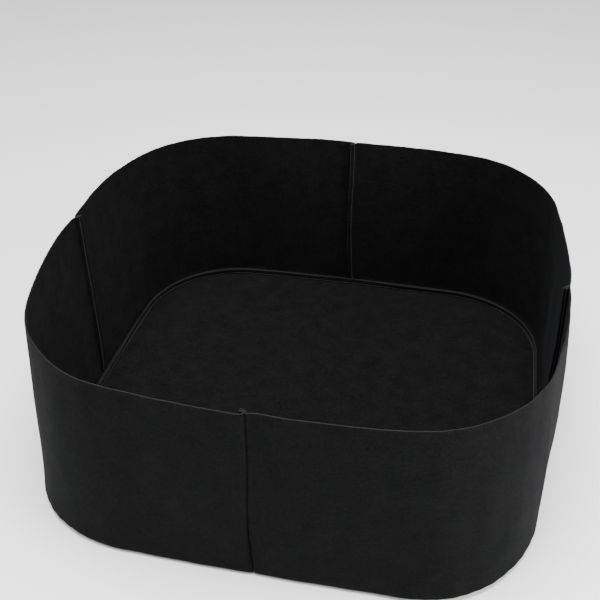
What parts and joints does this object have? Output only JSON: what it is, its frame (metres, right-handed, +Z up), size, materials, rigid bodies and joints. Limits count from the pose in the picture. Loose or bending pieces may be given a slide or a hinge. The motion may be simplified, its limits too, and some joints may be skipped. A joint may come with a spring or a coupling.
{
  "type": "fabric grow bag",
  "caption": "Low square fabric grow bag with large round corners: an open-topped planter of black felt, sewn from corner panels and a flat base, that holds soil and plants.",
  "frame": {"origin": "middle of the underside, on the surface that the bag stands on", "axes": "+Z up through the open top, -Y towards the front side, +X towards the right side as seen from the front"},
  "size_m": [0.9, 0.9, 0.35],
  "materials": {
    "felt": "matte black needle-punched felt with a faint pale sheen at grazing angles",
    "thread": "black polyester sewing thread, slightly glossy"
  },
  "bodies": {
    "root": {"base_panel": "felt", "wall_panel_front_left": "felt", "wall_panel_front_right": "felt", "wall_panel_back_right": "felt", "wall_panel_back_left": "felt", "front_seam_needle_thread": "thread", "front_seam_bobbin_thread": "thread", "right_seam_needle_thread": "thread", "right_seam_bobbin_thread": "thread", "back_seam_needle_thread": "thread", "back_seam_bobbin_thread": "thread", "left_seam_needle_thread": "thread", "left_seam_bobbin_thread": "thread", "base_seam_needle_thread": "thread", "base_seam_bobbin_thread": "thread"}
  },
  "joints": []
}
